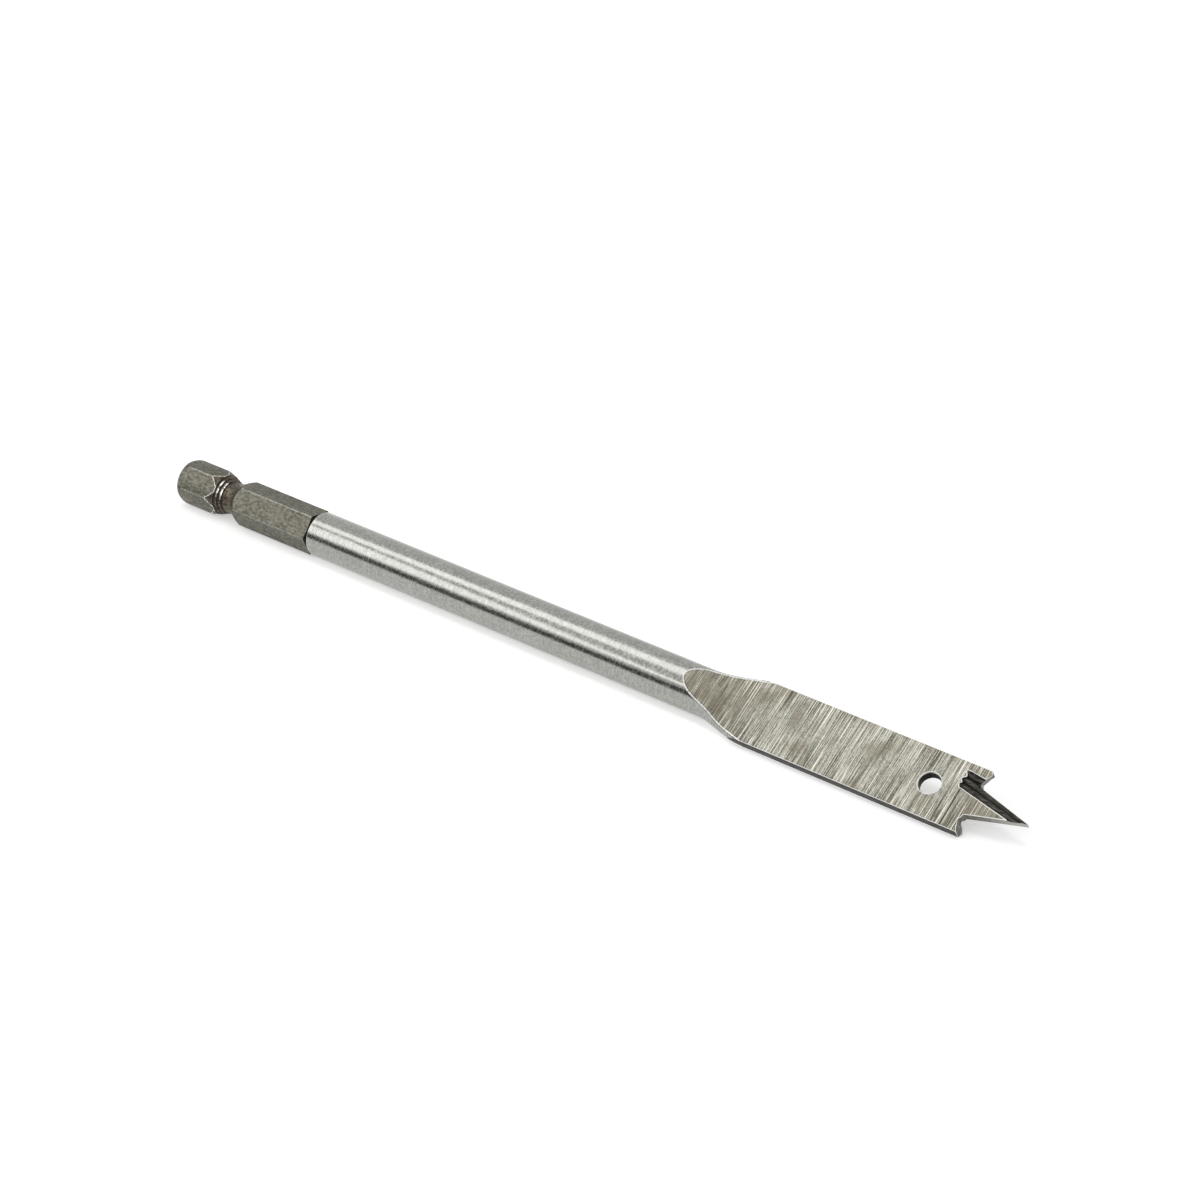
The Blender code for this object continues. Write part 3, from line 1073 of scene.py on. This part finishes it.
@dataclass
class BladeGrinding:
    """Everything that is milled, ground and drilled away from the blade, in metres."""

    length: float
    radius: float
    half_width: float
    half_thickness: float
    point_angle: float = math.radians(30.0)
    ramp_start: float = 97.3 * MM
    ramp_angle: float = math.radians(20.0)
    ramp_blend: float = 8.0 * MM
    point_stands_out: float = 7.85 * MM
    throat_depth: float = 0.8 * MM
    throat_radius: float = 0.65 * MM
    spur_inset: float = 0.65 * MM
    spur_drop: float = 0.3 * MM
    relief: float = math.radians(22.0)
    channels: tuple[Channel, ...] = (
        Channel(heading=math.radians(7.5), run=3.85 * MM, nose=0.95 * MM, slant=0.9),
        Channel(heading=math.radians(12.4), run=3.75 * MM, nose=0.6 * MM, slant=-0.35),
        Channel(heading=math.radians(12.4), run=3.65 * MM, nose=0.5 * MM, slant=-0.2),
    )
    channel_radius: float = 0.55 * MM
    channel_depth: float = 0.4 * MM
    channel_pitch: float = 0.87 * MM
    channel_inset: float = 1.55 * MM
    hole_radius: float = 1.6 * MM
    hole_from_tip: float = 15.1 * MM
    countersink: float = 0.12 * MM
    past: float = 1.5 * MM
    relief_past: float = 0.05 * MM

    @property
    def spur_x(self) -> float:
        """How far along the bit the spurs and the lips are."""
        return self.length - self.point_stands_out

    def channel_start(self, number: int) -> Vector:
        """Where a channel's axis starts, at its rear end."""
        return Vector((
            self.spur_x - self.channels[number].run,
            self.half_width - self.channel_inset - number * self.channel_pitch,
            self.half_thickness + self.channel_radius - self.channel_depth,
        ))

    def between_channels(self, face: BMFace) -> bool:
        """Whether a face is a strip of the milled face that the first two channels leave between them.

        Args:
            face: the face, on either side of the blade.

        Returns:
            True if it is milled and its middle lies between their axes.
        """
        x, y, z = face.calc_center_median()
        y = math.copysign(1.0, z) * y
        far, near = (
            start.y - math.tan(channel.heading) * (x - start.x)
            for channel, start in ((self.channels[number], self.channel_start(number)) for number in (0, 1))
        )
        rear = self.channel_start(0).x + self.channels[0].nose
        return face.material_index == Finish.FACE.index and rear < x < self.spur_x and near < y < far

    def throat(self) -> tuple[float, float]:
        """The centre of the far throat, whose circle touches the point's flank."""
        x = self.spur_x - self.throat_depth + self.throat_radius
        flank = self.point_angle / 2
        return x, (self.length - x) * math.tan(flank) + self.throat_radius / math.cos(flank)

    def face_tool(self) -> BMesh:
        """What is milled off the blade's upper face and its ramp."""
        high = self.radius + self.past
        foot = self.ramp_start + (self.radius - self.half_thickness) / math.tan(self.ramp_angle)
        centre = foot + self.ramp_blend * math.tan(self.ramp_angle / 2)
        level = self.half_thickness + self.ramp_blend
        sine, cosine = math.sin(self.ramp_angle), math.cos(self.ramp_angle)
        line = Outline(self.ramp_start - self.past / math.tan(self.ramp_angle), high)
        line.to(centre - self.ramp_blend * sine, level - self.ramp_blend * cosine)
        line.round(centre, level, self.ramp_angle, 16)
        line.to(self.length + 2 * self.past, self.half_thickness).to(self.length + 2 * self.past, high)
        wide = self.half_width + 2 * self.past
        bm = line.extruded(-wide, wide)
        bmesh.ops.rotate(bm, cent=(0.0, 0.0, 0.0), matrix=Matrix.Rotation(math.pi / 2, 3, "X"), verts=bm.verts)
        paint(bm, Finish.FACE)
        return bm

    def lean(self, vert: BMVert, throat_y: float) -> float:
        """How far the lip's relief moves a point of the nose tool.

        Args:
            vert: the point.
            throat_y: how far out the throat's middle is.

        Returns:
            The move along the bit.
        """
        reach = self.half_thickness + self.relief_past
        level = max(-reach, min(reach, vert.co.z))
        share = min(1.0, (self.half_width - vert.co.y) / self.spur_inset, (vert.co.y - throat_y) / self.throat_radius)
        return math.tan(self.relief) * max(0.0, share) * (level - self.half_thickness)

    def nose_tool(self) -> BMesh:
        """What is ground off the far edge, the spur, the lip, the throat and the point's flank."""
        flank = self.point_angle / 2
        x, y = self.throat()
        spur = Vector((self.spur_x, self.half_width - self.spur_inset))
        reach = spur - Vector((x, y))
        start = math.atan2(reach.y, reach.x) + math.acos(self.throat_radius / reach.length)
        wide = self.half_width + 2 * self.past
        far = self.length + 2 * self.past
        line = Outline(self.ramp_start, wide).to(self.ramp_start, self.half_width)
        line.to(self.spur_x - self.spur_drop, self.half_width).to(*spur)
        line.to(x + self.throat_radius * math.cos(start), y + self.throat_radius * math.sin(start))
        line.round(x, y, 1.5 * math.pi - flank - start, 20)
        line.to(self.length + self.past, -self.past * math.tan(flank)).to(far, -self.past * math.tan(flank))
        bm = line.to(far, wide).extruded(-self.radius - self.past, self.radius + self.past)
        levels = 8
        reach = self.half_thickness + self.relief_past
        for step in range(levels + 1):
            everything = [*bm.verts, *bm.edges, *bm.faces]
            level = (0.0, 0.0, -reach + 2 * reach * step / levels)
            bmesh.ops.bisect_plane(bm, geom=everything, dist=0.001 * MM, plane_co=level, plane_no=(0.0, 0.0, 1.0))
        for vert in bm.verts:
            vert.co.x += self.lean(vert, y)
        paint(bm, Finish.EDGE)
        paint(bm, Finish.LIP, lambda face: y / 4 < face.calc_center_median().y < self.half_width - 0.01 * MM)
        return bm

    def channel_tool(self, number: int) -> BMesh:
        """A round-nosed grinding wheel's path: one hollow channel.

        Args:
            number: which channel, from the spur inwards.

        Returns:
            The tool's mesh.
        """
        channel = self.channels[number]
        reach = channel.run + self.point_stands_out + self.past
        line = Outline(reach, 0.0).to(reach, self.channel_radius).to(channel.nose, self.channel_radius)
        bm = line.to(0.0, 0.0).turned(48)
        tip = [vert for vert in bm.verts if vert.co.x < channel.nose / 2]
        bmesh.ops.translate(bm, vec=(0.0, self.channel_radius * channel.slant, 0.0), verts=tip)
        bm.transform(Matrix.Translation(self.channel_start(number)) @ Matrix.Rotation(-channel.heading, 4, "Z"))
        paint(bm, Finish.CHANNEL)
        return bm

    def drill(self) -> BMesh:
        """The drill for the hole, with a countersink at each face."""
        straight = self.half_thickness - self.countersink
        high = self.half_thickness + self.past
        wide = self.hole_radius + self.countersink + self.past
        bm = Outline(high, 0.0).to(high, wide).to(straight, self.hole_radius).to(-straight, self.hole_radius).to(
            -high, wide
        ).to(-high, 0.0).turned(96)
        paint(bm, Finish.COUNTERSINK)
        paint(bm, Finish.HOLE, lambda face: abs(middle_x(face)) < straight)
        upright = Matrix.Rotation(-math.pi / 2, 4, "Y")
        bm.transform(Matrix.Translation((self.length - self.hole_from_tip, 0.0, 0.0)) @ upright)
        return bm

    def build(self, shop: Workshop) -> Collection:
        """All the tools, each for one face and half a turn round for the other.

        Args:
            shop: where they are made.

        Returns:
            A collection of the tools.
        """
        rack = bpy.data.collections.new("tools")
        shop.tools.children.link(rack)
        makers: list[tuple[str, Callable[[], BMesh]]] = [("face", self.face_tool), ("nose", self.nose_tool)]
        for number in range(len(self.channels)):
            makers.append((f"channel_{number}", lambda number=number: self.channel_tool(number)))
        for name, make in makers:
            shop.solid(make(), name, rack)
            under = make()
            under.transform(Matrix.Rotation(math.pi, 4, "X"))
            shop.solid(under, name + "_under", rack)
        shop.solid(self.drill(), "drill", rack)
        return rack


@dataclass
class BurrHighlightLine:
    """The burr that grinding leaves where two finishes meet, drawn as near-white tubes that are a painted highlight,
    in metres.
    """

    name: str
    pairs: tuple[tuple[Finish, Finish], ...]
    radius: float = 0.028 * MM
    until: float = math.inf
    unevenness: float = 0.5
    seed: int = 5

    def edges(self, bm: BMesh) -> list[tuple[BMVert, BMVert]]:
        """The edges between faces of these pairs of finishes.

        Args:
            bm: the bit's mesh.

        Returns:
            Each edge as its two ends.
        """
        wanted = {frozenset(finish.index for finish in pair) for pair in self.pairs}
        found = []
        for edge in bm.edges:
            meeting = frozenset(face.material_index for face in edge.link_faces)
            if len(edge.link_faces) == 2 and meeting in wanted and edge.verts[0].co.x < self.until:
                found.append(tuple(edge.verts))
        return found

    def chains(self, bm: BMesh) -> list[list[Vector]]:
        """Those edges strung into lines.

        Args:
            bm: the bit's mesh.

        Returns:
            Each line as its points.
        """
        beside: dict[BMVert, list[BMVert]] = {}
        for first, second in self.edges(bm):
            beside.setdefault(first, []).append(second)
            beside.setdefault(second, []).append(first)
        lines = []
        while beside:
            ends = [vert for vert, others in beside.items() if len(others) == 1]
            here = ends[0] if ends else next(iter(beside))
            line = [here.co.copy()]
            while beside[here]:
                following = beside[here].pop()
                beside[following].remove(here)
                here = following
                line.append(here.co.copy())
            beside = {vert: others for vert, others in beside.items() if others}
            lines.append(line)
        return lines

    def build(self, bm: BMesh) -> BMesh:
        """The burr as fine tubes of uneven thickness, near white as a painted highlight.

        Args:
            bm: the bit's mesh.

        Returns:
            The burr's mesh.
        """
        chance = random.Random(self.seed)
        curve = bpy.data.curves.new(self.name, "CURVE")
        curve.dimensions = "3D"
        curve.bevel_depth = self.radius
        curve.bevel_resolution = 1
        curve.use_fill_caps = True
        for line in self.chains(bm):
            spline = curve.splines.new("POLY")
            spline.points.add(len(line) - 1)
            for point, place in zip(spline.points, line):
                point.co = (*place, 1.0)
                point.radius = 1.0 + self.unevenness * chance.uniform(-1.0, 1.0)
        drawn = bpy.data.objects.new(self.name, curve)
        bpy.context.scene.collection.objects.link(drawn)
        graph = bpy.context.evaluated_depsgraph_get()
        mesh = bpy.data.meshes.new_from_object(drawn.evaluated_get(graph))
        made = bmesh.new()
        made.from_mesh(mesh)
        bpy.data.objects.remove(drawn, do_unlink=True)
        bpy.data.meshes.remove(mesh)
        bmesh.ops.recalc_face_normals(made, faces=made.faces)
        paint(made, Finish.BURR_HIGHLIGHT)
        return made


@dataclass
class SpadeBit:
    """The whole bit: its sub-assemblies joined, ground and laid down where the CAD model lies.

    Attributes:
        length: from the shank's end to the tip, in metres.
        rest_height: how high the shaft's axis lies, which is also the shaft's radius.
        half_width: half the blade's width.
        half_thickness: half the blade's thickness.
    """

    length: float
    rest_height: float
    half_width: float = 5.0 * MM
    half_thickness: float = 0.8 * MM
    sharp: float = math.radians(30.0)
    # Burr tubes along the edges, near white as a painted highlight.
    highlight_burrs: tuple[BurrHighlightLine, ...] = (
        BurrHighlightLine("arch_burr_highlight", ((Finish.FACE, Finish.SHAFT),), radius=0.09 * MM, seed=3),
        BurrHighlightLine("channel_burr_highlight", ((Finish.FACE, Finish.CHANNEL),), radius=0.065 * MM, seed=7),
        BurrHighlightLine("lip_burr_highlight", ((Finish.LIP, Finish.FACE), (Finish.LIP, Finish.EDGE)), radius=0.05 * MM, seed=9),
        BurrHighlightLine("edge_burr_highlight", ((Finish.EDGE, Finish.FACE),), radius=0.05 * MM, seed=11),
        BurrHighlightLine("hole_burr_highlight", ((Finish.COUNTERSINK, Finish.FACE),), radius=0.05 * MM, seed=13),
        BurrHighlightLine(
            "groove_burr_highlight",
            ((Finish.FLAT, Finish.GROOVE), (Finish.CORNER, Finish.GROOVE)),
            radius=0.045 * MM,
            until=8.0 * MM,
            unevenness=0.9,
        ),
    )

    @classmethod
    def from_frame(cls) -> SpadeBit:
        """A bit whose length and height come from the CAD node's box."""
        low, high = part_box(NODE)
        return cls(length=high.x - low.x, rest_height=high.z / 2)

    @property
    def grinding(self) -> BladeGrinding:
        """The blade's grinding, to this bit's sizes."""
        return BladeGrinding(self.length, self.rest_height, self.half_width, self.half_thickness)

    def placement(self) -> Placement:
        """How the bit lies on its shaft and the blade's near edge."""
        corner = math.hypot(self.half_width, self.half_thickness)
        roll = math.asin(self.rest_height / corner) - math.atan2(self.half_thickness, self.half_width)
        return Placement(roll, Vector((-self.length / 2, 0.0, self.rest_height)))

    def joined(self, shop: Workshop) -> Mesh:
        """The bit's mesh in its own frame, joined and ground.

        Args:
            shop: where it is made.

        Returns:
            The mesh.
        """
        shank = HexShank()
        grinding = self.grinding
        bar = ForgedBar(self.rest_height, shank.length, self.length + grinding.past, self.half_width)
        body = bar.build(shop)
        shop.combine(body, "UNION", shank.build(shop))
        shop.combine(body, "DIFFERENCE", grinding.build(shop))
        return shop.worked(body)

    def lay(self, bm: BMesh, name: str, shop: Workshop) -> Object:
        """Lays a mesh down in the row's frame as a finished piece.

        Args:
            bm: the mesh, in the bit's frame.
            name: the piece's name.
            shop: whose materials it has.

        Returns:
            The piece.
        """
        bm.transform(self.placement().matrix())
        low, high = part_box(NODE)
        for vert in bm.verts:
            vert.co = [min(max(part, least), most) for part, least, most in zip(vert.co, low, high)]
        piece = shop.solid(bm, name, bpy.context.scene.collection)
        piece.data.shade_smooth()
        piece.data.set_sharp_from_angle(angle=self.sharp)
        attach(piece, BODY)
        LOG.info("%s: %d faces", name, len(piece.data.polygons))
        return piece

    def build(self, shop: Workshop) -> list[Object]:
        """The bit and its burrs, whose near-white tubes are a painted highlight, as pieces.

        Args:
            shop: where they are made.

        Returns:
            The pieces.
        """
        bpy.context.scene.collection.children.link(shop.tools)
        mesh = self.joined(shop)
        body = bmesh.new()
        body.from_mesh(mesh)
        bpy.data.meshes.remove(mesh)
        paint(body, Finish.CHANNEL, self.grinding.between_channels)
        highlight_burrs = {line.name: line.build(body) for line in self.highlight_burrs}
        bit = self.lay(body, "spade_bit_steel", shop)
        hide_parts(NODE)
        laid = [self.lay(made, name, shop) for name, made in highlight_burrs.items()]
        shop.put_away()
        return [bit, *laid]


# Studio


@dataclass(frozen=True)
class Softbox:
    """A flat soft light that faces the bit.

    Attributes:
        name: its name.
        direction: where it stands, seen from the bit.
        distance: how far off, in metres.
        size: its length along the bit and its height, in metres.
        radiance: how bright its face is.
    """

    name: str
    direction: tuple[float, float, float]
    distance: float
    size: tuple[float, float]
    radiance: float

    def build(self) -> Object:
        """Sets the light up, its long side along the bit."""
        light: Light = bpy.data.lights.new(self.name, "AREA")
        light.shape = "RECTANGLE"
        light.size, light.size_y = self.size
        light.energy = self.radiance * math.pi * self.size[0] * self.size[1]
        back = Vector(self.direction).normalized()
        along = Vector((1.0, 0.0, 0.0))
        along = (along - back * along.dot(back)).normalized()
        lamp = bpy.data.objects.new(self.name, light)
        basis = Matrix((along, back.cross(along), back)).transposed().to_4x4()
        lamp.matrix_world = Matrix.Translation(back * self.distance) @ basis
        bpy.context.scene.collection.objects.link(lamp)
        return lamp


@dataclass
class Studio:
    """A pale floor, a soft surround, softboxes and a dark card that draws a line in the shaft."""

    softboxes: tuple[Softbox, ...] = (
        Softbox("key_softbox", (-0.46, -0.69, 0.53), 0.9, (1.8, 0.46), 1.4),
        Softbox("overhead_strip", (-0.25, -0.19, 0.94), 0.9, (1.7, 0.28), 1.6),
    )
    surround_light: float = 0.55
    surround_seen: float = 0.88
    floor_colour: Colour = (0.80, 0.80, 0.80)
    floor_lift: float = 0.42
    floor_size: float = 6.0
    floor_roughness: float = 0.9
    floor_sheen: float = 0.1
    card_near: float = 0.022
    card_far: float = 0.9
    card_top: float = 0.18
    card_length: float = 4.5
    card_colour: Colour = (0.03, 0.03, 0.03)
    card_roughness: float = 0.95

    @staticmethod
    def seen_directly(tree: bpy.types.NodeTree) -> NodeSocket:
        """A socket that is 1 for what the camera, reflections and glass see, and 0 for what only lights.

        Args:
            tree: the node tree that it goes in.

        Returns:
            The socket.
        """
        path = tree.nodes.new("ShaderNodeLightPath")
        seen = path.outputs["Is Camera Ray"]
        for ray in ("Is Glossy Ray", "Is Transmission Ray"):
            either = tree.nodes.new("ShaderNodeMath")
            either.operation = "MAXIMUM"
            tree.links.new(seen, either.inputs[0])
            tree.links.new(path.outputs[ray], either.inputs[1])
            seen = either.outputs[0]
        return seen

    def surroundings(self) -> None:
        """The even light from all round, which is seen as a pale background."""
        world = bpy.data.worlds.new("soft_surround")
        world.use_nodes = True
        tree = world.node_tree
        strength = tree.nodes.new("ShaderNodeMapRange")
        strength.inputs["To Min"].default_value = self.surround_light
        strength.inputs["To Max"].default_value = self.surround_seen
        tree.links.new(self.seen_directly(tree), strength.inputs["Value"])
        background = tree.nodes["Background"]
        background.inputs["Color"].default_value = (1.0, 1.0, 1.0, 1.0)
        tree.links.new(strength.outputs["Result"], background.inputs["Strength"])
        bpy.context.scene.world = world

    def floor(self) -> Object:
        """The pale floor, which the camera and reflections see lifted towards white."""
        bm = bmesh.new()
        bmesh.ops.create_grid(bm, x_segments=4, y_segments=4, size=self.floor_size / 2)
        mesh = bpy.data.meshes.new("floor")
        bm.to_mesh(mesh)
        bm.free()
        material = bpy.data.materials.new("pale_floor")
        material.use_nodes = True
        tree = material.node_tree
        shader = tree.nodes["Principled BSDF"]
        shader.inputs["Base Color"].default_value = (*self.floor_colour, 1.0)
        shader.inputs["Roughness"].default_value = self.floor_roughness
        shader.inputs["Specular IOR Level"].default_value = self.floor_sheen
        shader.inputs["Emission Color"].default_value = (1.0, 1.0, 1.0, 1.0)
        lift = tree.nodes.new("ShaderNodeMath")
        lift.operation = "MULTIPLY"
        lift.inputs[1].default_value = self.floor_lift
        tree.links.new(self.seen_directly(tree), lift.inputs[0])
        tree.links.new(lift.outputs[0], shader.inputs["Emission Strength"])
        mesh.materials.append(material)
        floor = bpy.data.objects.new("floor", mesh)
        bpy.context.scene.collection.objects.link(floor)
        return floor

    def dark_card(self) -> Object:
        """A long dark card in front of the bit, leaning away from it, that only reflections see."""
        name = "front_card"
        bm = bmesh.new()
        bmesh.ops.create_grid(bm, x_segments=1, y_segments=1, size=0.5)
        run = self.card_far - self.card_near
        lean = Matrix.Rotation(-math.atan2(self.card_top, run), 3, "X")
        bmesh.ops.scale(bm, vec=(self.card_length, math.hypot(run, self.card_top), 1.0), verts=bm.verts)
        bmesh.ops.rotate(bm, cent=(0.0, 0.0, 0.0), matrix=lean, verts=bm.verts)
        bmesh.ops.translate(bm, vec=(0.0, -self.card_near - run / 2, self.card_top / 2), verts=bm.verts)
        mesh = bpy.data.meshes.new(name)
        bm.to_mesh(mesh)
        bm.free()
        material = bpy.data.materials.new("dark_card")
        material.use_nodes = True
        shader = material.node_tree.nodes["Principled BSDF"]
        shader.inputs["Base Color"].default_value = (*self.card_colour, 1.0)
        shader.inputs["Roughness"].default_value = self.card_roughness
        mesh.materials.append(material)
        card = bpy.data.objects.new(name, mesh)
        bpy.context.scene.collection.objects.link(card)
        card.visible_camera = card.visible_transmission = False
        card.visible_diffuse = card.visible_shadow = False
        return card

    def build(self) -> None:
        """Sets the whole studio up."""
        self.surroundings()
        self.floor()
        self.dark_card()
        for softbox in self.softboxes:
            softbox.build()


@dataclass
class PhotoCamera:
    """A camera at the photograph's angle.

    Attributes:
        place: where it stands, in metres.
        aim: the point that it looks at.
        roll: how far it is turned clockwise about its view, in radians.
        lens: focal length in millimetres.
        sensor: sensor width in millimetres.
        shift: how far the picture is moved, as shares of its width.
        clip: the nearest and the furthest that it sees, in metres.
    """

    place: Vector = field(default_factory=lambda: Vector((228.64, -311.82, 209.28)) * MM)
    aim: Vector = field(default_factory=lambda: Vector((-4.237, 11.456, 3.48)) * MM)
    roll: float = math.radians(-3.676)
    lens: float = 91.134
    sensor: float = 36.0
    shift: Span = (0.00262, 0.00128)
    clip: Span = (0.01, 20.0)

    def build(self) -> Object:
        """Makes the camera and hands it to the scene."""
        camera = bpy.data.cameras.new("photo_camera")
        camera.lens, camera.sensor_width = self.lens, self.sensor
        camera.shift_x, camera.shift_y = self.shift
        camera.clip_start, camera.clip_end = self.clip
        made = bpy.data.objects.new("photo_camera", camera)
        look = (self.aim - self.place).to_track_quat("-Z", "Y").to_matrix().to_4x4()
        made.matrix_world = Matrix.Translation(self.place) @ look @ Matrix.Rotation(-self.roll, 4, "Z")
        bpy.context.scene.collection.objects.link(made)
        bpy.context.scene.camera = made
        return made


def main() -> None:
    """Builds the bit, then the studio and the camera."""
    logging.basicConfig(level=logging.INFO, format="%(name)s: %(message)s")
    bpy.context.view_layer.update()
    bit = SpadeBit.from_frame()
    shop = Workshop(steel_slots(bit.placement()))
    pieces = bit.build(shop)
    LOG.info("%d pieces", len(pieces))
    Studio().build()
    PhotoCamera().build()
    bpy.context.scene.view_settings.view_transform = "Standard"


if __name__ == "__main__":
    main()
